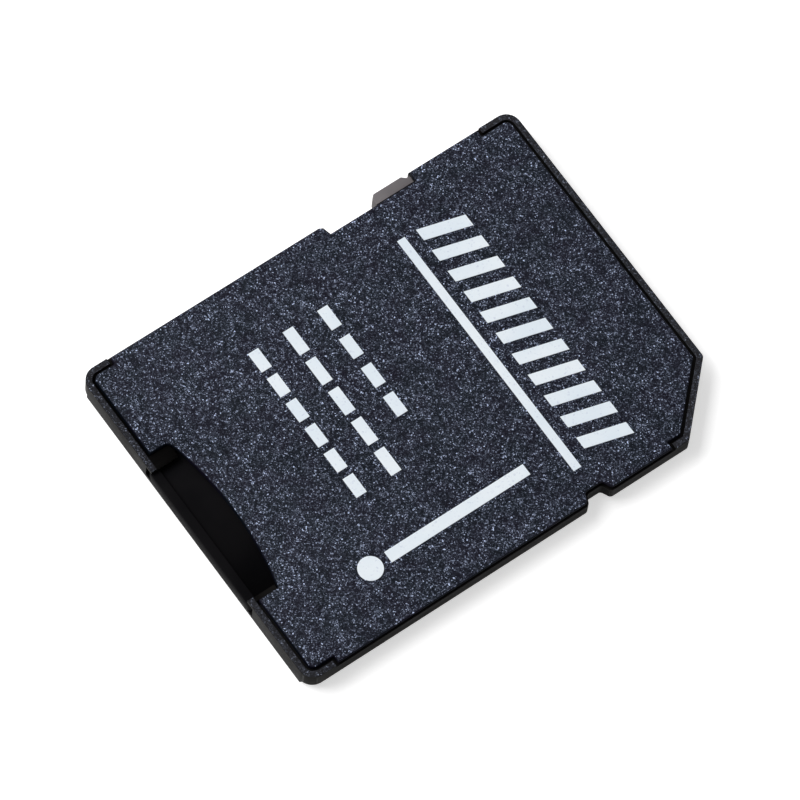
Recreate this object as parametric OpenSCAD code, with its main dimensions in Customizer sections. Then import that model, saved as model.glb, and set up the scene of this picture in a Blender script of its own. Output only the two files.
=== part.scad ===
// Memory card adapter of the large card size, with a small memory card in its slot.
// Label face up, contact end towards +Y, origin at the middle of the underside.

/* [Outline] */
// Width across the two guide rails
body_w = 24; // [22.5:0.1:27]
// Length from the slot end to the contact end
body_l = 32; // [31.2:0.1:36]
// Thickness from the underside to the label face
body_t = 2.1; // [2:0.05:2.6]
// Leg of the cut corner beside the last contact
corner_cut = 4; // [3.2:0.1:4.6]
// Radius of the three plain corners
corner_r = 1; // [0.7:0.1:1.4]
// Radius at the two ends of the cut corner
cut_r = 0.3; // [0.2:0.05:0.6]
// Height of the rails' lower faces above the underside
rail_z = 0.7; // [0.5:0.05:0.8]
// Width of the step under each rail
rail_step = 0.85; // [0.5:0.05:1]
// Chamfer along the slot end's lower edge
heel = 0.35; // [0.1:0.05:0.5]

/* [Shell] */
// Floor under the small card
floor_t = 0.65; // [0.55:0.05:0.7]
// Thickness of the outer wall
wall = 1; // [0.8:0.05:1.15]
// Thickness of the walls that guide the small card
guide_wall = 0.9; // [0.6:0.05:1.2]
// Width of the raised rim at the two ends
rim_w = 0.4; // [0.3:0.05:0.5]
// How far the rim stays below the label face
rim_drop = 0.15; // [0.05:0.05:0.25]
// Distance from the contact end to the end of the rim beside the slider
rim_wrap_left = 2.4; // [1.6:0.05:3]
// Distance from the contact end to the end of the rim beyond the cut corner
rim_wrap_cut = 5; // [4.8:0.05:6]
// Distance from the slot end to the ends of its rims
rim_wrap_rear = 2; // [1.5:0.05:3]

/* [Cover] */
// Thickness of the cover
cover_t = 0.4; // [0.35:0.05:0.5]
// Groove between the rim and the cover
groove = 0.2; // [0.1:0.05:0.25]
// How far the cover stays inside the rails
cover_inset = 0.1; // [0.05:0.05:0.2]
// Height of the shadow seam under the cover's long edges
seam_t = 0.15; // [0.1:0.05:0.2]
// Depth of the shadow seam
seam_d = 0.2; // [0.1:0.05:0.3]
// Left side of the thumb cut-out, from the body's middle
thumb_left = 5.4; // [5.2:0.1:5.8]
// Right side of the thumb cut-out, from the body's middle
thumb_right = 6; // [5.8:0.1:6.4]
// Depth of the thumb cut-out at the top of its arc
thumb_depth = 2.7; // [2.3:0.05:3.2]
// Top of the arc, to the right of the body's middle
thumb_peak_x = 0.4; // [0:0.1:0.8]
// Radius of the cut-out's arc
thumb_arc_r = 22.8; // [18:0.1:30]
// Radius of the round corner of the cut-out
thumb_r = 0.5; // [0.3:0.05:0.8]
// Width of the cover's two ribs over the small card
rib_w = 1.2; // [0.8:0.1:1.6]

/* [Small card] */
// Width of the small card
mem_w = 11; // [10.6:0.1:11.6]
// Length of the small card
mem_l = 15; // [14:0.1:16]
// Thickness of the small card
mem_t = 0.7; // [0.6:0.05:0.75]
// Height of the grip ridge above the small card's face
ridge_h = 0.25; // [0.1:0.05:0.25]
// Width of the grip ridge
ridge_w = 0.6; // [0.4:0.05:1.2]
// How much narrower the small card is at its contact end
mem_step = 1.3; // [1:0.05:1.6]
// Length of the narrow stretch
mem_nose = 6.4; // [5.5:0.1:7]
// Depth of the small card's side notch
mem_notch = 0.5; // [0.3:0.05:0.7]
// Length of the floor of the side notch
mem_notch_l = 1; // [0.6:0.1:1.4]
// Radius of the small card's corners
mem_r = 0.5; // [0.3:0.05:0.8]
// Running clearance round the small card
mem_gap = 0.05; // [0.03:0.01:0.08]
// How far the shell's lips reach over the small card
lip_reach = 0.5; // [0.2:0.05:0.7]
// Height of the lips
lip_t = 0.15; // [0.1:0.05:0.2]

/* [Lock slider] */
// Length of the slider's slot
slot_l = 6.5; // [6:0.1:7.5]
// Depth of the slider's slot
slot_d = 0.8; // [0.7:0.01:1.1]
// Length of the slope at the slot's rear end
slot_slope = 0.45; // [0.2:0.05:0.8]
// Distance from the contact end to the slot
slot_front = 7.7; // [7.5:0.1:8.4]
// Length of the slider's knob
knob_l = 2.55; // [2:0.05:2.8]
// How far the knob stays inside the rail's face
knob_inset = 0.05; // [0:0.05:0.3]
// Length of the slider's low foot in front of the knob
foot_l = 0.25; // [0.15:0.05:0.5]
// How far the foot stays below the knob's face
foot_drop = 0.22; // [0.1:0.01:0.4]
// Thickness of the skin between slot and track
slot_skin = 0.35; // [0.25:0.05:0.4]
// Width of the track behind the skin
track_w = 0.8; // [0.6:0.05:0.9]
// Running clearance of the slider
slide_gap = 0.06; // [0.04:0.01:0.1]

/* [Side notch] */
// Distance from the contact end to the notch
notch_front = 9.75; // [9:0.05:11]
// Length of the notch along the rail
notch_l = 1.7; // [1.2:0.05:2.2]
// Depth of the notch
notch_d = 0.65; // [0.3:0.05:0.75]

/* [Terminals] */
// Thickness of the terminal strip
strip_t = 0.12; // [0.1:0.01:0.14]
// Distance from the rail's face to the middle of the contact beside the cut corner
pad_margin_cut = 2.8; // [2.6:0.05:3]
// Distance from the other rail's face to the middle of the last contact
pad_margin_lock = 2.075; // [1.9:0.025:2.2]
// Width of a large contact as a share of the pitch
pad_share = 0.7; // [0.55:0.01:0.75]
// Length of a large contact
pad_l = 4; // [3.4:0.1:4.3]
// Distance from the contact end to the large contacts
pad_front = 1.2; // [1.15:0.05:1.4]
// How much each window is narrower than its contact
window_lap = 0.1; // [0.05:0.01:0.2]
// Width of the strip between its two contacts
strip_w = 0.55; // [0.4:0.05:0.6]
// Pitch of the small card's contacts as a share of its width
finger_share = 0.1; // [0.096:0.001:0.102]
// Length of a spring finger
finger_l = 3.4; // [3:0.1:3.8]
// Width of a small card's contact
mem_pad_w = 0.8; // [0.6:0.05:0.9]
// Length of a small card's contact
mem_pad_l = 2.9; // [2.7:0.1:3.2]

/* [Carrier] */
// Thickness of the terminal carrier
carrier_t = 0.8; // [0.6:0.05:0.85]
// Clearance round the carrier
carrier_gap = 0.1; // [0.05:0.01:0.12]
// Diameter of the shell's pegs through the carrier
peg_d = 1; // [0.8:0.05:1.1]
// Clearance round each peg
peg_gap = 0.05; // [0.03:0.01:0.1]

/* [Print] */
// Thickness of the printed ink
ink_t = 0.02; // [0.01:0.01:0.04]
// Distance from the left rail's face to the printed rule
print_left = 3.5; // [3:0.1:4.5]
// Distance from the right rail's face to the end of the printed rule
print_right = 2.2; // [1.6:0.1:3]
// Distance from the contact end to the printed rule
print_front = 10.75; // [10:0.05:11.5]
// Width of the printed rule
rule_w = 0.56; // [0.4:0.02:0.8]
// Height of the slanted bars beyond the rule
bar_h = 3.1; // [2:0.1:3.4]
// Width of the slanted bars
bar_w = 0.85; // [0.5:0.05:1.2]
// Distance between the rows of dashes
row_pitch = 2.55; // [2.2:0.05:2.8]
// Height of the dashes
dash_h = 0.75; // [0.5:0.05:1.2]
// Width of the upright printed strip
side_mark_w = 0.8; // [0.5:0.05:1.4]

/* [Hidden] */
$fn = 48;

half_w = body_w / 2;
half_l = body_l / 2;
cover_z = body_t - cover_t;
rim_z = body_t - rim_drop;
edge_inset = rim_w + groove;
through = body_t + 2;
lap = 0.01;
min_r = 0.1;
// How much the leg of the cut corner shrinks for each unit of inset
cut_shrink = 2 - sqrt(2);

// The small card's contacts lie at the body's middle, so its own middle is to the right.
mem_x = mem_step / 2;
mem_left = mem_x - mem_w / 2;
mem_right = mem_x + mem_w / 2;
mem_front = mem_l - half_l;
nose_right = mem_right - mem_step;
nose_y = mem_front - mem_nose;
flare_y = nose_y - mem_step;
channel_front = mem_front + mem_gap;
mem_top = floor_t + mem_t;
lip_left_x = mem_left + lip_reach;
lip_right_x = mem_right - lip_reach;
lip_y = -half_l + thumb_depth - 0.75;

// Slider track, from the slot's floor inwards
slot_y1 = half_l - slot_front;
slot_y0 = slot_y1 - slot_l;
skin_x = -half_w + slot_d;
track_x = skin_x + slot_skin;
track_z0 = rail_z + 0.12;
track_z1 = cover_z - 0.1;
neck_z0 = track_z0 + 0.2;
neck_z1 = track_z1 - 0.2;
track_over = 0.4;
track_wall = 0.4;
slider_front = slot_y1 - 0.1;
slider_top = body_t - 0.1;
slider_base = rail_z + 0.1;

// Large contacts, numbered along the contact end from the cut corner: 9, 1, 2 ... 8
pad_9_x = half_w - pad_margin_cut;
pad_8_x = -half_w + pad_margin_lock;
pad_9_back = 2.5;
pad_9_short = 1;
// The last two contacts stand closer, so the row is 6 pitches and these two shares long.
near_share = 0.97;
last_share = 0.68;
pad_pitch = (pad_9_x - pad_8_x) / (6 + near_share + last_share);
pad_w = pad_share * pad_pitch;
pad_last_w = 0.48 * pad_pitch;
pad_z = rail_z;
strip_z = pad_z + strip_t;
finger_clear = 0.14;
finger_low_z = floor_t - 0.225;
finger_pocket_z = floor_t - 0.45;
finger_root = channel_front + 0.75;
finger_tip = channel_front - finger_l;
finger_pitch = finger_share * mem_w;
gate_half = 4 * finger_pitch;
bend_l = 0.45;
bend_shift = 0.35;
jog_l = 1.1;
jog_shift = 1.2;
gather_share = 0.3;

carrier_front = half_l - wall - carrier_gap;
carrier_neck_y = finger_root + 0.6;
carrier_shoulder = slot_y1 + track_over + track_wall + carrier_gap;
carrier_waist = -track_x - track_w - track_wall - carrier_gap;
peg_low_x = (gate_half + carrier_waist) / 2;
peg_low_y = finger_root + 2.4;

function pad_x(k) =
    k == 9 ? pad_9_x
    : k <= 6 ? pad_9_x - k * pad_pitch
    : k == 7 ? pad_9_x - (6 + near_share) * pad_pitch
    : pad_8_x;
function pad_width(k) = k == 8 ? pad_last_w : pad_w;
function pad_end(k) = half_l - pad_front - (k == 9 ? pad_9_back : 0);
function pad_root(k) = pad_end(k) - pad_l + (k == 9 ? pad_9_short : 0);
// Middle of spring finger or card contact j, counted from the narrow nose's right edge
function finger_x(j) = (4.5 - j) * finger_pitch;
// Contact 3 is a second ground contact that reaches no finger.
function finger_of(k) = k == 9 ? 1 : k <= 2 ? k + 1 : k;
// The strip leaves its pad a little towards the middle, then jogs clear of the track.
function bend_x(k) = pad_x(k) * (1 + bend_shift / pad_8_x);
function jog_x(k) = pad_x(k) * (1 + jog_shift / pad_8_x);

// A rectangle from two opposite corners
module span(a, b) {
    translate([min(a[0], b[0]), min(a[1], b[1])])
        square([abs(b[0] - a[0]), abs(b[1] - a[1])]);
}

// Outline seen from the label side, with three round corners and one cut corner
module outline(inset = 0) {
    w = half_w - inset;
    l = half_l - inset;
    r = max(corner_r - inset, min_r);
    c = corner_cut - inset * cut_shrink;
    s = max(cut_r - inset, min_r);
    t = s * tan(22.5);
    d = t / sqrt(2);
    union() {
        polygon([[-w, -l + r], [-w + r, -l], [w - r, -l], [w, -l + r], [w, l - c - t],
            [w - d, l - c + d], [w - c + d, l - d], [w - c - t, l], [-w + r, l], [-w, l - r]]);
        translate([-w + r, -l + r]) circle(r);
        translate([w - r, -l + r]) circle(r);
        translate([-w + r, l - r]) circle(r);
        translate([w - c - t, l - s]) circle(s);
        translate([w - s, l - c - t]) circle(s);
    }
}

module slider_slot() {
    polygon([[-half_w - 1, slot_y1], [skin_x, slot_y1], [skin_x, slot_y0 + slot_slope / 3],
        [skin_x - slot_d * 0.7, slot_y0], [-half_w, slot_y0 - slot_slope],
        [-half_w - 1, slot_y0 - slot_slope]]);
}

module side_notch(grow = 0) {
    y1 = half_l - notch_front + grow;
    y0 = y1 - notch_l - 2 * grow;
    x0 = half_w - notch_d - grow;
    polygon([[half_w + 1, y0], [half_w, y0], [x0, y0 + notch_d / 2],
        [x0, y1 - notch_d / 2], [half_w, y1], [half_w + 1, y1]]);
}

// The small card's plan, with its narrow nose, flare and side notch on the right
module mem_plan() {
    r = mem_r;
    y_notch = flare_y - 0.3;
    y_full = y_notch - mem_notch_l - mem_notch;
    polygon([[mem_left + r, -half_l], [mem_right - r, -half_l], [mem_right, -half_l + r],
        [mem_right, y_full], [mem_right - mem_notch, y_full + mem_notch],
        [mem_right - mem_notch, y_notch], [mem_right, y_notch], [mem_right, flare_y],
        [nose_right, nose_y], [nose_right, mem_front - r], [nose_right - r, mem_front],
        [mem_left + r, mem_front], [mem_left, mem_front - r], [mem_left, -half_l + r]]);
    for (p = [[mem_left, -half_l], [mem_left, mem_front - 2 * r], [mem_right - 2 * r, -half_l],
        [nose_right - 2 * r, mem_front - 2 * r]])
        translate([p[0] + r, p[1] + r]) circle(r);
}

// Space that the small card slides in, grown all round
module channel_plan(grow = 0) {
    g = mem_gap + grow;
    polygon([[mem_left - g, -half_l - 1], [mem_right + g, -half_l - 1],
        [mem_right + g, flare_y + g / 2], [nose_right + g, nose_y + g / 2],
        [nose_right + g, mem_front + g], [mem_left - g, mem_front + g]]);
}

module track_plan(grow = 0) {
    span([track_x - grow, slot_y0 - track_over - grow],
        [track_x + track_w + grow, slot_y1 + track_over + grow]);
}

// Terminal carrier: full width over the large contacts, narrow at the fingers
module carrier_plan(grow = 0) {
    side = half_w - wall - carrier_gap + grow;
    front = carrier_front + grow;
    cut = corner_cut - (wall + carrier_gap - grow) * cut_shrink;
    waist = carrier_waist + grow;
    neck = gate_half - carrier_gap + grow;
    y_shoulder = carrier_shoulder - grow;
    y_neck = carrier_neck_y - grow;
    y_back = channel_front - grow;
    polygon([[-side, y_shoulder], [-side, front], [side - cut, front], [side, front - cut],
        [side, y_shoulder], [waist, y_shoulder], [waist, y_neck], [neck, y_neck],
        [neck, y_back], [-neck, y_back], [-neck, y_neck], [-waist, y_neck], [-waist, y_shoulder]]);
}

// Hollow inside the outer wall, less the walls round the card, the track and the notch
module cavity_plan() {
    difference() {
        outline(wall);
        channel_plan(guide_wall);
        track_plan(track_wall);
        span([skin_x, slot_y0 - wall / 2], [-half_w, slot_y1 + wall / 2]);
        span([half_w - wall - notch_d, half_l - notch_front - notch_l - wall / 2],
            [half_w, half_l - notch_front + wall / 2]);
        span([-half_w, -half_l], [half_w, lip_y + wall / 2]);
    }
}

// One long arc with a round corner at its left end and a straight right side
module thumb_plan() {
    arc_y = -half_l + thumb_depth - thumb_arc_r;
    reach = thumb_arc_r - thumb_r;
    dx = thumb_peak_x + thumb_left - thumb_r;
    corner_y = arc_y + sqrt(reach * reach - dx * dx);
    touch_x = -thumb_left + thumb_r - thumb_r * dx / reach;
    translate([-thumb_left + thumb_r, corner_y]) circle(thumb_r);
    span([-thumb_left, -half_l - 1], [thumb_peak_x, corner_y]);
    intersection() {
        translate([thumb_peak_x, arc_y]) circle(thumb_arc_r, $fn = 240);
        span([touch_x, -half_l - 1], [thumb_right, 0]);
    }
}

// The label plate: inside the rims at both ends, out to the rails between them
module cover_plan(side_inset) {
    side = half_w - side_inset;
    difference() {
        union() {
            outline(edge_inset);
            span([-side, -half_l + rim_wrap_rear + groove], [0, half_l - rim_wrap_left - groove]);
            span([side, -half_l + rim_wrap_rear + groove], [0, half_l - rim_wrap_cut - groove]);
        }
        slider_slot();
        side_notch(side_inset);
        thumb_plan();
    }
}

module rim_plan() {
    difference() {
        outline();
        outline(rim_w);
        span([-half_w - 1, -half_l + rim_wrap_rear], [0, half_l - rim_wrap_left]);
        span([half_w + 1, -half_l + rim_wrap_rear], [0, half_l - rim_wrap_cut]);
        span([lip_left_x, -half_l - 1], [lip_right_x, 0]);
    }
}

// Two lips beside the thumb cut-out keep the small card down.
module lip_plan() {
    span([lip_left_x, -half_l], [-thumb_left + groove / 2, lip_y]);
    span([lip_right_x, -half_l], [thumb_right - groove / 4, lip_y]);
}

module pegs(d, z0, h) {
    y = half_l - pad_front - pad_l - bend_l - 0.2;
    for (p = [[-peg_low_x, peg_low_y], [peg_low_x, peg_low_y],
        [(bend_x(1) + jog_x(2)) / 2, y], [(jog_x(5) + bend_x(6)) / 2, y]])
        translate([p[0], p[1], z0]) cylinder(d = d, h = h);
}

module contact_windows() {
    for (k = [1:9]) {
        w = pad_width(k) - 2 * window_lap;
        translate([pad_x(k) - w / 2, pad_root(k) + window_lap, -1])
            cube([w, body_l, pad_z + 1]);
    }
}

module finger_pockets() {
    for (j = [1:8])
        translate([finger_x(j) - strip_w / 2 - finger_clear, finger_tip - 0.5, finger_pocket_z])
            cube([strip_w + 2 * finger_clear, finger_root - finger_tip + 0.6, through]);
}

module bottom_shell() {
    color("#26272b") {
        difference() {
            union() {
                intersection() {
                    linear_extrude(rail_z + lap) outline();
                    translate([-half_w + rail_step, -half_l, -1])
                        cube([body_w - 2 * rail_step, body_l, through]);
                }
                translate([0, 0, rail_z]) linear_extrude(cover_z - rail_z) outline();
                translate([0, 0, cover_z - lap]) linear_extrude(rim_z - cover_z + lap) rim_plan();
                translate([0, 0, cover_z - lap]) linear_extrude(lip_t + lap) lip_plan();
            }
            // Sloped heel along the slot end
            translate([0, -half_l, 0]) rotate([45, 0, 0])
                cube([body_w + 2, heel * sqrt(2), heel * sqrt(2)], center = true);
            translate([0, 0, rail_z]) linear_extrude(cover_z - rail_z + lap) cavity_plan();
            translate([0, 0, floor_t]) linear_extrude(cover_z - floor_t) channel_plan();
            translate([0, 0, cover_z - lap]) linear_extrude(2 * lap) intersection() {
                channel_plan();
                span([-half_w, lip_y], [half_w, half_l]);
            }
            translate([0, 0, pad_z]) linear_extrude(cover_z - pad_z + lap) carrier_plan(carrier_gap);
            translate([0, 0, track_z0]) linear_extrude(cover_z - track_z0 + lap) track_plan();
            translate([skin_x - 1, slot_y0 + 0.2, neck_z0 - slide_gap])
                cube([slot_skin + 1.1, slot_l - 0.4, neck_z1 - neck_z0 + 2 * slide_gap]);
            translate([0, 0, -1]) linear_extrude(through + 1) slider_slot();
            translate([0, 0, -1]) linear_extrude(through + 1) side_notch();
            contact_windows();
            finger_pockets();
        }
        pegs(peg_d, pad_z - lap, strip_t + carrier_t + lap);
    }
}

module top_cover() {
    rib_y0 = -half_l + thumb_depth + 0.35;
    rib_z = mem_top + mem_gap;
    color("#2b2d33") {
        translate([0, 0, cover_z]) linear_extrude(seam_t + lap) cover_plan(cover_inset + seam_d);
        translate([0, 0, cover_z + seam_t]) linear_extrude(cover_t - seam_t) cover_plan(cover_inset);
        // Ribs that hold the small card's margins down, one each side of its channel
        for (x = [mem_left + mem_gap, nose_right - mem_gap - rib_w])
            translate([x, rib_y0, rib_z]) cube([rib_w, mem_front - rib_y0, cover_z - rib_z + lap]);
    }
}

module lock_slider() {
    knob_x = -half_w + knob_inset;
    knob_y1 = slider_front - foot_l;
    knob_y0 = knob_y1 - knob_l;
    bevel = 0.25;
    inner_x = skin_x - slide_gap;
    color("#8b8684") {
        // Knob with a sloped end, and the low foot in front of it
        translate([0, 0, slider_base]) linear_extrude(slider_top - slider_base)
            polygon([[inner_x, knob_y0], [knob_x + bevel, knob_y0], [knob_x, knob_y0 + bevel],
                [knob_x, knob_y1 - bevel], [knob_x + foot_drop, knob_y1],
                [knob_x + foot_drop, slider_front], [inner_x, slider_front]]);
        // Neck through the skin, and the plate that runs in the track
        translate([inner_x - lap, knob_y0 + 0.3, neck_z0])
            cube([slot_skin + 2 * slide_gap + 2 * lap, knob_l - 0.2, neck_z1 - neck_z0]);
        translate([track_x + slide_gap, knob_y0, track_z0 + slide_gap])
            cube([track_w - 2 * slide_gap, knob_l + foot_l, track_z1 - track_z0 - slide_gap]);
    }
}

module terminal_carrier() {
    color("#1d1e20")
        translate([0, 0, strip_z]) difference() {
            linear_extrude(carrier_t) carrier_plan();
            pegs(peg_d + 2 * peg_gap, -1, through);
        }
}

// Plan of one stamped terminal: its large contact, and the strip to its finger's root
module terminal_plan(k) {
    w = pad_width(k) / 2;
    s = strip_w / 2;
    y0 = pad_root(k);
    y_bend = y0 - bend_l;
    y_jog = y_bend - jog_l;
    y_gather = finger_root + (y_jog - finger_root) * gather_share;
    span([pad_x(k) - w, y0], [pad_x(k) + w, pad_end(k)]);
    if (k == 3) {
        span([pad_x(k) - s, y_jog], [pad_x(k) + s, y0 + lap]);
    } else {
        f = finger_x(finger_of(k));
        polygon([[bend_x(k) - s, y0 + lap], [bend_x(k) + s, y0 + lap], [bend_x(k) + s, y_bend],
            [jog_x(k) + s, y_jog], [f + s, y_gather], [f + s, finger_root], [f - s, finger_root],
            [f - s, y_gather], [jog_x(k) - s, y_jog], [bend_x(k) - s, y_bend]]);
    }
}

// Side of a spring finger: down from the strip, along its pocket, up to its contact bump
module finger_side() {
    y = channel_front;
    bump_z = floor_t - mem_gap / 2;
    edge = [[finger_root + lap, strip_z], [finger_root, strip_z], [y, finger_low_z + 0.02],
        [y - finger_l * 0.35, finger_low_z], [y - finger_l * 0.62, bump_z],
        [y - finger_l * 0.72, bump_z], [y - finger_l, finger_low_z + 0.04]];
    last = len(edge) - 1;
    polygon(concat(edge, [for (i = [last:-1:0]) [edge[i][0], edge[i][1] - strip_t]]));
}

module terminal(k) {
    color("#d8b45c") {
        translate([0, 0, pad_z]) linear_extrude(strip_t) terminal_plan(k);
        if (k != 3)
            translate([finger_x(finger_of(k)) - strip_w / 2, 0, 0])
                rotate([90, 0, 90]) linear_extrude(strip_w) finger_side();
    }
}

// Plan of one contact of the small card; the two supply contacts reach further forward
module card_contact_plan(j) {
    y1 = mem_front - 0.6;
    ahead = j == 4 || j == 6 ? 0.3 : 0;
    span([finger_x(j) - mem_pad_w / 2, y1 - mem_pad_l], [finger_x(j) + mem_pad_w / 2, y1 + ahead]);
}

module card_contact(j) {
    color("#d8b45c")
        translate([0, 0, floor_t]) linear_extrude(strip_t / 2) card_contact_plan(j);
}

module memory_card() {
    color("#17181a")
        difference() {
            union() {
                translate([0, 0, floor_t]) linear_extrude(mem_t) mem_plan();
                // Grip ridge along the end that shows in the cut-out
                translate([0, 0, mem_top - lap]) linear_extrude(ridge_h + lap) intersection() {
                    mem_plan();
                    span([mem_left, -half_l], [mem_right, -half_l + ridge_w]);
                }
            }
            for (j = [1:8])
                translate([0, 0, floor_t - 1]) linear_extrude(1 + strip_t / 2) card_contact_plan(j);
        }
}

// Bars that fill a row from its left end, each leaning by the same amount
module bars(x0, y0, row_l, count, w, h, lean = 0) {
    pitch = (row_l - w - lean) / (count - 1);
    for (i = [0:count - 1]) {
        x = x0 + i * pitch;
        polygon([[x, y0], [x + w, y0], [x + w + lean, y0 + h], [x + lean, y0 + h]]);
    }
}

module printed_marks() {
    rule_l = body_w - print_left - print_right;
    rule_x = -half_w + print_left;
    rule_y = half_l - print_front;
    dash_x = rule_x + rule_l / 17;
    row_y = rule_y - 2 * rule_w - 2.3 * row_pitch;
    side_x = half_w - print_right - 2.1;
    side_l = 4 * row_pitch;
    color("#edf1fb") {
        translate([0, 0, body_t]) linear_extrude(ink_t) {
            span([rule_x, rule_y - rule_w / 2], [rule_x + rule_l, rule_y + rule_w / 2]);
            bars(rule_x, rule_y + 2 * rule_w, rule_l, 11, bar_w, bar_h, bar_w);
            // Three rows of short dashes
            bars(dash_x, row_y, rule_l * 0.46, 4, rule_l * 0.085, dash_h);
            bars(dash_x, row_y - row_pitch, rule_l * 0.62, 5, rule_l * 0.1, dash_h);
            bars(dash_x, row_y - 2 * row_pitch, rule_l * 0.62, 6, rule_l * 0.08, dash_h);
            // Upright strip with a round dot at its lower end
            span([side_x, rule_y - side_l - row_pitch], [side_x + side_mark_w, rule_y - row_pitch]);
            translate([side_x + side_mark_w / 2, rule_y - side_l - 1.5 * row_pitch])
                circle(d = 2 * side_mark_w);
        }
    }
}

bottom_shell();
top_cover();
lock_slider();
terminal_carrier();
for (k = [1:9])
    terminal(k);
memory_card();
for (j = [1:8])
    card_contact(j);
printed_marks();
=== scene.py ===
import bpy
import bmesh
import math
from mathutils import Matrix, Vector


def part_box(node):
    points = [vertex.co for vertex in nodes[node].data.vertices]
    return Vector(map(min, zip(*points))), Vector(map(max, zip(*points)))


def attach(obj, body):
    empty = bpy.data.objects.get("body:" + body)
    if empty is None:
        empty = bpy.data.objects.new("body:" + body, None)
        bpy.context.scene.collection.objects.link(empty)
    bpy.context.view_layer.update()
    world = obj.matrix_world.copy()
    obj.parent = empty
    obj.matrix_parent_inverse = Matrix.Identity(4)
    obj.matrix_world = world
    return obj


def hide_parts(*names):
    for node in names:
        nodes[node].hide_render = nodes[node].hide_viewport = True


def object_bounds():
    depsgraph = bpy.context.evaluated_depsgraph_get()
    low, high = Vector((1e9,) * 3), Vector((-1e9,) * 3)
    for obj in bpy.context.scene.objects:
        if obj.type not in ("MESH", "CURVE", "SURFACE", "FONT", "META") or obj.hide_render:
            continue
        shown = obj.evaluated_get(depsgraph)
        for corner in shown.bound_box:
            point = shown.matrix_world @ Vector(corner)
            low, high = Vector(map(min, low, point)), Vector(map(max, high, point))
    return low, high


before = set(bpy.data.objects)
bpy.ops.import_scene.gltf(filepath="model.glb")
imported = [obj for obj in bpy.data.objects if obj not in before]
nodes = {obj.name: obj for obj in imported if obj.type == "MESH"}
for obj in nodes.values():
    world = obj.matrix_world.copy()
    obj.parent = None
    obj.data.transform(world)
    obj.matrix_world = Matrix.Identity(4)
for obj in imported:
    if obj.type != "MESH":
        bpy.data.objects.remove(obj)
cad_low, cad_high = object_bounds()

MM = 0.001


# Camera
def make_camera():
    """Camera at the photographed angle, a long lens from about half a metre."""
    focal_length, sensor_width = 336.85, 36.0
    place = Vector((0.13463, -0.12496, 0.41300))
    right = Vector((0.57879, 0.81354, 0.05616)).normalized()
    back = Vector((0.29883, -0.27567, 0.91362)).normalized()
    data = bpy.data.cameras.new("camera")
    data.lens = focal_length
    data.sensor_width = sensor_width
    data.clip_start = 0.01
    data.clip_end = 20.0
    data.shift_x = -0.00075
    data.shift_y = 0.00125
    camera = bpy.data.objects.new("camera", data)
    up = back.cross(right).normalized()
    right = up.cross(back).normalized()
    turn = Matrix((right, up, back)).transposed().to_4x4()
    camera.matrix_world = Matrix.Translation(place) @ turn
    bpy.context.scene.collection.objects.link(camera)
    bpy.context.scene.camera = camera


# Node helpers
def new_group(name, inputs, outputs):
    """Empty shader group with the named sockets: (name, type, default) in, (name, type) out."""
    group = bpy.data.node_groups.new(name, "ShaderNodeTree")
    for label, kind, default in inputs:
        socket = group.interface.new_socket(name=label, in_out="INPUT", socket_type=kind)
        socket.default_value = default
    for label, kind in outputs:
        group.interface.new_socket(name=label, in_out="OUTPUT", socket_type=kind)
    source = group.nodes.new("NodeGroupInput")
    sink = group.nodes.new("NodeGroupOutput")
    return group, source, sink


def math_node(tree, operation, a, b=None, clamp=False):
    """One sum on two values, each a number or another node's output."""
    node = tree.nodes.new("ShaderNodeMath")
    node.operation = operation
    node.use_clamp = clamp
    for index, value in ((0, a), (1, b)):
        if value is None:
            continue
        if isinstance(value, (int, float)):
            node.inputs[index].default_value = value
        else:
            tree.links.new(value, node.inputs[index])
    return node.outputs[0]


def ramp(tree, value, low, high, to_low=0.0, to_high=1.0):
    """Smooth step of value from low..high to to_low..to_high."""
    node = tree.nodes.new("ShaderNodeMapRange")
    node.interpolation_type = "SMOOTHSTEP"
    tree.links.new(value, node.inputs["Value"])
    node.inputs["From Min"].default_value = low
    node.inputs["From Max"].default_value = high
    node.inputs["To Min"].default_value = to_low
    node.inputs["To Max"].default_value = to_high
    return node.outputs["Result"]


def mix_colour(tree, factor, a, b):
    """Blend of two colours, each a triple or another node's output."""
    node = tree.nodes.new("ShaderNodeMix")
    node.data_type = "RGBA"
    tree.links.new(factor, node.inputs["Factor"])
    for socket, value in ((node.inputs["A"], a), (node.inputs["B"], b)):
        if hasattr(value, "links"):
            tree.links.new(value, socket)
        else:
            socket.default_value = (*value, 1.0)
    return node.outputs["Result"]


def noise(tree, vector, scale, detail=2.0, roughness=0.5):
    """Cloudy noise of so many lumps a metre, a number or another node's output."""
    node = tree.nodes.new("ShaderNodeTexNoise")
    tree.links.new(vector, node.inputs["Vector"])
    if isinstance(scale, (int, float)):
        node.inputs["Scale"].default_value = scale
    else:
        tree.links.new(scale, node.inputs["Scale"])
    node.inputs["Detail"].default_value = detail
    node.inputs["Roughness"].default_value = roughness
    return node.outputs["Fac"]


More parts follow.
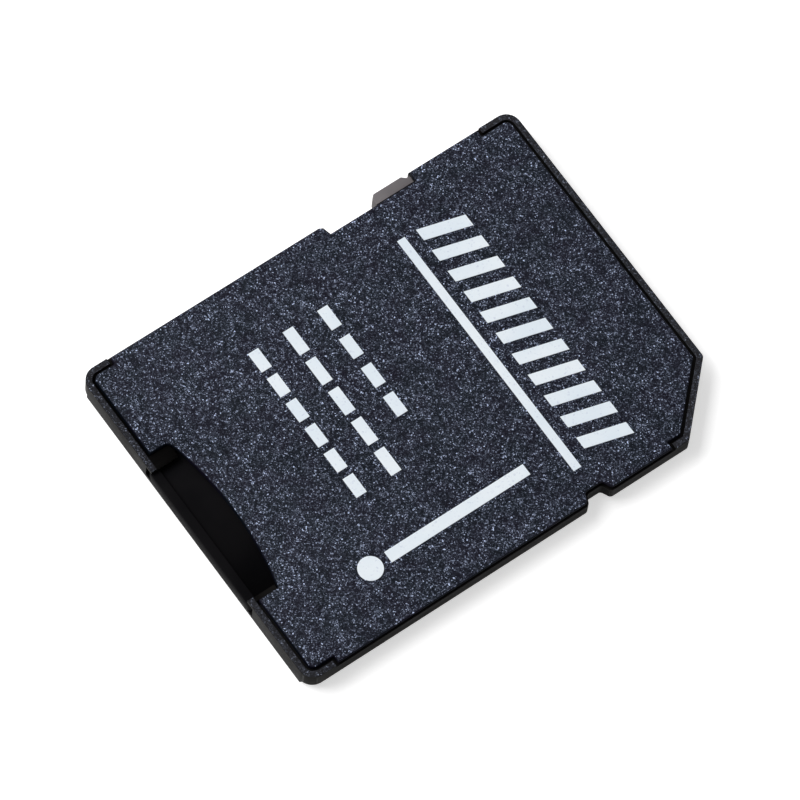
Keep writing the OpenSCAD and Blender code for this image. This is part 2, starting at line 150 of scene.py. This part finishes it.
# Shared effects
def build_grain_and_painted_glint():
    """Spark-eroded mould texture: tiny facets, each of its own height, and a painted glint of its own
    brightness for the light off each facet.
    """
    group, source, sink = new_group(
        "grain_and_painted_glint",
        [("Vector", "NodeSocketVector", (0, 0, 0)), ("Grains per metre", "NodeSocketFloat", 9000.0),
         ("Spread", "NodeSocketFloat", 1.0), ("Middle", "NodeSocketFloat", 0.04)],
        [("Sparkle", "NodeSocketFloat"), ("Height", "NodeSocketFloat")])
    vector = source.outputs["Vector"]
    cells = group.nodes.new("ShaderNodeTexVoronoi")
    group.links.new(vector, cells.inputs["Vector"])
    group.links.new(source.outputs["Grains per metre"], cells.inputs["Scale"])
    chance = group.nodes.new("ShaderNodeSeparateColor")
    group.links.new(cells.outputs["Color"], chance.inputs["Color"])
    # The sum of three even chances is near a bell curve about zero, half a unit wide.
    pair = math_node(group, "ADD", chance.outputs["Red"], chance.outputs["Green"])
    luck = math_node(group, "SUBTRACT", math_node(group, "ADD", pair, chance.outputs["Blue"]), 1.5)
    # Grains gather a little in some places and thin out in others.
    drift = math_node(group, "SUBTRACT", noise(group, vector, 2600.0, 3.0, 0.6), 0.5)
    total = math_node(group, "ADD", luck, math_node(group, "MULTIPLY", drift, 1.1))
    power = math_node(group, "MULTIPLY", total, source.outputs["Spread"])
    bright = math_node(group, "EXPONENT", power)
    # Painted glint: a brightness for each facet that stands for light off it, for use in colour.
    painted_sparkle = math_node(group, "MULTIPLY", bright, source.outputs["Middle"], clamp=True)
    group.links.new(painted_sparkle, sink.inputs["Sparkle"])
    dome = ramp(group, cells.outputs["Distance"], 0.7, 0.0)
    group.links.new(math_node(group, "MULTIPLY", chance.outputs["Green"], dome), sink.inputs["Height"])
    return group


def build_moulded_skin():
    """Faint cloudiness and fine pitting of smooth moulded plastic."""
    group, source, sink = new_group(
        "moulded_skin",
        [("Vector", "NodeSocketVector", (0, 0, 0)), ("Pits per metre", "NodeSocketFloat", 7000.0)],
        [("Cloud", "NodeSocketFloat"), ("Height", "NodeSocketFloat")])
    vector = source.outputs["Vector"]
    cloud = ramp(group, noise(group, vector, 260.0, 3.0), 0.35, 0.68)
    group.links.new(cloud, sink.inputs["Cloud"])
    fine = noise(group, vector, source.outputs["Pits per metre"], 2.0, 0.6)
    group.links.new(fine, sink.inputs["Height"])
    return group


def build_rub_marks():
    """Long fine rub marks along Y, as on sliding plastic and stamped contacts."""
    group, source, sink = new_group(
        "rub_marks",
        [("Vector", "NodeSocketVector", (0, 0, 0)), ("Lines per metre", "NodeSocketFloat", 9000.0)],
        [("Mark", "NodeSocketFloat")])
    stretch = group.nodes.new("ShaderNodeVectorMath")
    stretch.operation = "MULTIPLY"
    stretch.inputs[1].default_value = (1.0, 0.04, 1.0)
    group.links.new(source.outputs["Vector"], stretch.inputs[0])
    lines = noise(group, stretch.outputs["Vector"], source.outputs["Lines per metre"], 2.0, 0.55)
    group.links.new(ramp(group, lines, 0.52, 0.72), sink.inputs["Mark"])
    return group


grain_and_painted_glint = build_grain_and_painted_glint()
moulded_skin = build_moulded_skin()
rub_marks = build_rub_marks()


def start_material(name, roughness, **uniform):
    """Material with a Principled shader and its Object coordinates; uniform values go on sockets."""
    material = bpy.data.materials.new(name)
    material.use_nodes = True
    tree = material.node_tree
    shader = tree.nodes["Principled BSDF"]
    shader.inputs["Roughness"].default_value = roughness
    for label, value in uniform.items():
        shader.inputs[label.replace("_", " ")].default_value = value
    place = tree.nodes.new("ShaderNodeTexCoord").outputs["Object"]
    return material, tree, shader, place


def use_group(tree, group, vector, **values):
    """One shared effect placed in a material, with its own values."""
    node = tree.nodes.new("ShaderNodeGroup")
    node.node_tree = group
    tree.links.new(vector, node.inputs["Vector"])
    for label, value in values.items():
        node.inputs[label.replace("_", " ")].default_value = value
    return node


def add_bump(tree, shader, height, depth, strength=1.0):
    """Relief of this depth in metres on the shader's normal."""
    bump = tree.nodes.new("ShaderNodeBump")
    bump.inputs["Strength"].default_value = strength
    bump.inputs["Distance"].default_value = depth
    tree.links.new(height, bump.inputs["Height"])
    tree.links.new(bump.outputs["Normal"], shader.inputs["Normal"])


def level_mask(tree, place, level, fade):
    """One on faces at this height and above, nought where the edge falls away."""
    axes = tree.nodes.new("ShaderNodeSeparateXYZ")
    tree.links.new(place, axes.inputs["Vector"])
    return ramp(tree, axes.outputs["Z"], level - fade, level - 0.2 * fade)


# Finishes
rim_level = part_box("bottom_shell")[1].z
label_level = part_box("top_cover")[1].z


def label_face_finish():
    """Black with a bluish sparkle painted into its colour as glints off its grain, which stop where the
    plate's edge rounds off.
    """
    material, tree, shader, place = start_material("sparkling_black", 0.5, Specular_IOR_Level=0.07)
    grain = use_group(tree, grain_and_painted_glint, place, Grains_per_metre=13000.0, Spread=4.6, Middle=0.0032)
    fine = use_group(tree, grain_and_painted_glint, place, Grains_per_metre=20000.0, Spread=4.0, Middle=0.0050)
    painted_glints = math_node(tree, "ADD", grain.outputs["Sparkle"], fine.outputs["Sparkle"], clamp=True)
    flat = level_mask(tree, place, label_level, 0.05 * MM)
    tint = ramp(tree, noise(tree, place, 620.0, 2.0), 0.35, 0.65)
    ground = mix_colour(tree, tint, (0.0010, 0.0024, 0.0052), (0.0026, 0.0020, 0.0066))
    # Painted glints: bluish-white specks in the colour for the light off the grain's facets.
    colour = mix_colour(tree, math_node(tree, "MULTIPLY", painted_glints, flat), ground, (0.62, 0.72, 1.0))
    tree.links.new(colour, shader.inputs["Base Color"])
    rough = ramp(tree, grain.outputs["Sparkle"], 0.0, 0.3, 0.58, 0.42)
    tree.links.new(rough, shader.inputs["Roughness"])
    add_bump(tree, shader, grain.outputs["Height"], 0.02 * MM, 0.5)
    return material


def moulded_finish(name, dark, light, roughness, pits, depth, specular):
    """Smooth moulded plastic: cloudy between two colours, pitted, and polished by rubbing."""
    material, tree, shader, place = start_material(name, roughness, Specular_IOR_Level=specular)
    skin = use_group(tree, moulded_skin, place, Pits_per_metre=pits)
    rub = use_group(tree, rub_marks, place, Lines_per_metre=5200.0)
    colour = mix_colour(tree, skin.outputs["Cloud"], dark, light)
    tree.links.new(colour, shader.inputs["Base Color"])
    cloud_rough = ramp(tree, skin.outputs["Cloud"], 0.0, 1.0, roughness - 0.05, roughness + 0.05)
    rubbed = math_node(tree, "MULTIPLY", rub.outputs["Mark"], -0.08)
    total = math_node(tree, "ADD", cloud_rough, rubbed, clamp=True)
    tree.links.new(total, shader.inputs["Roughness"])
    add_bump(tree, shader, skin.outputs["Height"], depth, 0.5)
    return material


def shell_finish():
    """Satin black; on the flat rims around the label face, a grain like the label face's with painted
    glints, and a painted bluish sheen that lifts the rims' tops.
    """
    material = moulded_finish("satin_black", (0.0042, 0.0039, 0.0038), (0.0066, 0.0060, 0.0057),
                              roughness=0.42, pits=7000.0, depth=0.012 * MM, specular=0.04)
    tree = material.node_tree
    shader = tree.nodes["Principled BSDF"]
    place = tree.nodes["Texture Coordinate"].outputs["Object"]
    grain = use_group(tree, grain_and_painted_glint, place, Grains_per_metre=14000.0, Spread=2.8, Middle=0.0110)
    on_rim = level_mask(tree, place, rim_level, 0.012 * MM)
    plain = shader.inputs["Base Color"].links[0].from_socket
    # Painted sheen: the rims' top faces are made lighter and bluer than the walls.
    painted_rim_sheen = mix_colour(tree, math_node(tree, "MULTIPLY", on_rim, 0.018), plain, (0.5, 0.5, 0.62))
    # Painted glints of the rims' grain, on the top faces only.
    colour = mix_colour(tree, math_node(tree, "MULTIPLY", grain.outputs["Sparkle"], on_rim),
                        painted_rim_sheen, (0.62, 0.70, 0.92))
    tree.links.new(colour, shader.inputs["Base Color"])
    return material


def slider_finish():
    """Satin grey of the lock slider."""
    return moulded_finish("satin_grey", (0.105, 0.096, 0.101), (0.145, 0.133, 0.138),
                          roughness=0.45, pits=8000.0, depth=0.01 * MM, specular=0.25)


def carrier_finish():
    """Plain black of the terminal carrier."""
    return moulded_finish("plain_black", (0.008, 0.008, 0.009), (0.014, 0.014, 0.015),
                          roughness=0.5, pits=6000.0, depth=0.01 * MM, specular=0.3)


def small_card_finish():
    """Deep smooth black of the small card, with hardly any gloss."""
    return moulded_finish("smooth_black", (0.0044, 0.0043, 0.0051), (0.0068, 0.0065, 0.0072),
                          roughness=0.34, pits=9000.0, depth=0.004 * MM, specular=0.004)


def contact_finish():
    """Gold plating with fine rub marks from earlier insertions."""
    material, tree, shader, place = start_material("gold_plating", 0.3, Metallic=1.0)
    rub = use_group(tree, rub_marks, place, Lines_per_metre=12000.0)
    skin = use_group(tree, moulded_skin, place, Pits_per_metre=9000.0)
    base = mix_colour(tree, skin.outputs["Cloud"], (0.80, 0.56, 0.22), (0.90, 0.68, 0.33))
    colour = mix_colour(tree, rub.outputs["Mark"], base, (0.72, 0.52, 0.26))
    tree.links.new(colour, shader.inputs["Base Color"])
    rough = ramp(tree, rub.outputs["Mark"], 0.0, 1.0, 0.24, 0.42)
    tree.links.new(rough, shader.inputs["Roughness"])
    add_bump(tree, shader, rub.outputs["Mark"], 0.004 * MM, 0.5)
    return material


def ink_finish():
    """White ink, thinner where the plate's grain stands up through it."""
    material, tree, shader, place = start_material("white_ink", 0.45, Specular_IOR_Level=0.2)
    grain = use_group(tree, grain_and_painted_glint, place, Grains_per_metre=9500.0, Spread=2.0, Middle=0.10)
    skin = use_group(tree, moulded_skin, place, Pits_per_metre=11000.0)
    base = mix_colour(tree, skin.outputs["Cloud"], (0.77, 0.85, 0.92), (0.84, 0.90, 0.95))
    thin = ramp(tree, grain.outputs["Sparkle"], 0.2, 0.9, 0.0, 0.35)
    colour = mix_colour(tree, thin, base, (0.50, 0.55, 0.70))
    tree.links.new(colour, shader.inputs["Base Color"])
    add_bump(tree, shader, skin.outputs["Height"], 0.01 * MM, 0.4)
    return material


finishes = {
    "cover": label_face_finish(),
    "shell": shell_finish(),
    "slider": slider_finish(),
    "carrier": carrier_finish(),
    "small_card": small_card_finish(),
    "contacts": contact_finish(),
    "ink": ink_finish(),
}


# Pieces
SHARP_ANGLE = math.radians(35)
SHADED_ANGLE = math.radians(38)
MERGE_DISTANCE = 1e-7


def paint(piece, slot):
    """Give a piece the finish of this material slot."""
    piece.data.materials.clear()
    piece.data.materials.append(finishes[slot])


def round_edges(bm, width, segments, wanted):
    """Round the sharp edges for which wanted, given middle, direction and convexity, is true."""
    bm.normal_update()
    edges = []
    for edge in bm.edges:
        if len(edge.link_faces) != 2 or edge.calc_face_angle(0.0) < SHARP_ANGLE:
            continue
        middle = (edge.verts[0].co + edge.verts[1].co) / 2
        along = (edge.verts[1].co - edge.verts[0].co).normalized()
        if wanted(middle / MM, along, edge.is_convex):
            edges.append(edge)
    bmesh.ops.bevel(bm, geom=edges, offset=width, offset_type="OFFSET", segments=segments,
                    profile=0.5, affect="EDGES", clamp_overlap=True, material=-1)


def softened(node, name, body, slot, *rounds):
    """A copy of a CAD node that stands for it; each round has a width in mm, segments and edges."""
    mesh = nodes[node].data.copy()
    mesh.name = name
    bm = bmesh.new()
    bm.from_mesh(mesh)
    bmesh.ops.remove_doubles(bm, verts=bm.verts, dist=MERGE_DISTANCE)
    bmesh.ops.dissolve_limit(bm, angle_limit=math.radians(1.0), verts=bm.verts, edges=bm.edges)
    for width, segments, wanted in rounds:
        round_edges(bm, width * MM, segments, wanted)
    bm.to_mesh(mesh)
    bm.free()
    piece = bpy.data.objects.new(name, mesh)
    bpy.context.scene.collection.objects.link(piece)
    for polygon in mesh.polygons:
        polygon.use_smooth = True
    mesh.set_sharp_from_angle(angle=SHADED_ANGLE)
    paint(piece, slot)
    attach(piece, body)
    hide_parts(node)
    return piece


# Which edges are rounded, with places in mm
CORNER_CUT = 4.0
RAIL_STEP = 0.7
NOTCH_REACH = 0.8
CARD_THICKNESS = 0.7
KNOB_DEPTH = 0.65

shell_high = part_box("bottom_shell")[1] / MM
cover_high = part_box("top_cover")[1] / MM
card_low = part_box("memory_card")[0] / MM
slider_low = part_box("lock_slider")[0] / MM


def near(value, target, slack):
    """Whether a value lies within the slack of its target."""
    return abs(value - target) < slack


def outside_wall(p):
    """Whether a point lies on the shell's outer walls or on its cut corner."""
    on_cut = p.x + p.y > shell_high.x + shell_high.y - CORNER_CUT - 0.1
    return abs(p.x) > shell_high.x - 0.05 or abs(p.y) > shell_high.y - 0.05 or on_cut


def outer_rim(p, along, convex):
    """The rim's outer edge, which gets a flat bevel."""
    return convex and outside_wall(p) and near(p.z, shell_high.z, 0.03)


def shell_edges(p, along, convex):
    """The shell's rim, its heel and its guide rails' step, but not its hidden pockets."""
    on_rim = near(p.z, shell_high.z, 0.03)
    return convex and (on_rim or (outside_wall(p) and p.z < RAIL_STEP + 0.1))


def notch_corners(p, along, convex):
    """Upright edges of the side notch, the only ones on that wall's middle half."""
    return abs(along.z) > 0.99 and p.x > shell_high.x - NOTCH_REACH and abs(p.y) < shell_high.y / 2


def cover_edges(p, along, convex):
    """Edges round the plate's label face."""
    return convex and near(p.z, cover_high.z, 0.02)


def card_edges(p, along, convex):
    """Edges of the small card's underside, its face and its ridge."""
    return convex and (p.z > card_low.z + CARD_THICKNESS - 0.15 or near(p.z, card_low.z, 0.05))


def slider_edges(p, along, convex):
    """The knob's edges, but not those of its neck and plate."""
    return convex and p.x < slider_low.x + KNOB_DEPTH


def make_label_cover():
    """The label plate, with a softly rounded edge."""
    softened("top_cover", "label_cover", "adapter", "cover",
             (0.16, 3, notch_corners), (0.11, 3, cover_edges))


def make_moulded_shell():
    """The shell, with fine edges, which the short facets of its corner arcs leave room for."""
    softened("bottom_shell", "moulded_shell", "adapter", "shell",
             (0.16, 3, notch_corners), (0.02, 1, outer_rim), (0.014, 3, shell_edges))


def make_small_memory_card():
    """The small card, with its moulded edges barely rounded."""
    softened("memory_card", "small_memory_card", "card", "small_card", (0.05, 3, card_edges))


def make_slider_knob():
    """The lock slider, with its knob's edges rounded for the finger."""
    softened("lock_slider", "slider_knob", "slider", "slider", (0.06, 3, slider_edges))


def paint_cad_nodes():
    """Finishes of the nodes that keep their CAD shape."""
    for name, node in nodes.items():
        if name.startswith(("terminal_", "card_contact_")) and name != "terminal_carrier":
            paint(node, "contacts")
    paint(nodes["terminal_carrier"], "carrier")
    paint(nodes["printed_marks"], "ink")


# Stage
def background_ray(tree, in_gloss):
    """One where the background is seen by the camera or through glass, and in gloss if asked."""
    path = tree.nodes.new("ShaderNodeLightPath")
    seen = math_node(tree, "MAXIMUM", path.outputs["Is Camera Ray"], path.outputs["Is Transmission Ray"])
    return math_node(tree, "MAXIMUM", seen, path.outputs["Is Glossy Ray"]) if in_gloss else seen


def make_floor():
    """Pale floor, whose glow makes it white where it is the background."""
    half_size, gap = 1.5, 0.02 * MM
    bm = bmesh.new()
    bmesh.ops.create_grid(bm, x_segments=2, y_segments=2, size=half_size)
    mesh = bpy.data.meshes.new("floor")
    bm.to_mesh(mesh)
    bm.free()
    mesh.transform(Matrix.Translation((0, 0, cad_low.z - gap)))
    floor = bpy.data.objects.new("floor", mesh)
    bpy.context.scene.collection.objects.link(floor)
    material = bpy.data.materials.new("pale_floor")
    material.use_nodes = True
    tree = material.node_tree
    shader = tree.nodes["Principled BSDF"]
    shader.inputs["Base Color"].default_value = (0.82, 0.82, 0.82, 1.0)
    shader.inputs["Roughness"].default_value = 0.8
    seen = math_node(tree, "MULTIPLY", background_ray(tree, False), 0.45)
    glow = math_node(tree, "ADD", seen, math_node(tree, "MULTIPLY", background_ray(tree, True), 0.10))
    shader.inputs["Emission Color"].default_value = (1.0, 1.0, 1.0, 1.0)
    tree.links.new(glow, shader.inputs["Emission Strength"])
    mesh.materials.append(material)


def make_softbox(name, place, size, power):
    """White rectangular lamp that points at the object."""
    data = bpy.data.lights.new(name, "AREA")
    data.shape = "RECTANGLE"
    data.size, data.size_y = size
    data.energy = power
    light = bpy.data.objects.new(name, data)
    aim = (-Vector(place)).to_track_quat("-Z", "Y")
    light.matrix_world = Matrix.Translation(place) @ aim.to_matrix().to_4x4()
    bpy.context.scene.collection.objects.link(light)


def make_world():
    """Even studio light, full white where it is the background and dimmer on the object."""
    on_object, extra = 0.22, 0.78
    world = bpy.data.worlds.new("studio")
    bpy.context.scene.world = world
    world.use_nodes = True
    tree = world.node_tree
    background = tree.nodes["Background"]
    background.inputs["Color"].default_value = (1.0, 1.0, 1.0, 1.0)
    seen = math_node(tree, "MULTIPLY", background_ray(tree, True), extra)
    strength = math_node(tree, "ADD", seen, on_object)
    tree.links.new(strength, background.inputs["Strength"])


make_label_cover()
make_moulded_shell()
make_small_memory_card()
make_slider_knob()
paint_cad_nodes()
make_camera()
make_floor()
make_world()
make_softbox("key_softbox", (-0.34, -0.36, 0.64), (0.55, 0.55), 5.9)
make_softbox("fill_softbox", (-0.55, -0.05, 0.50), (0.6, 0.4), 0.8)
bpy.context.scene.view_settings.view_transform = "Standard"
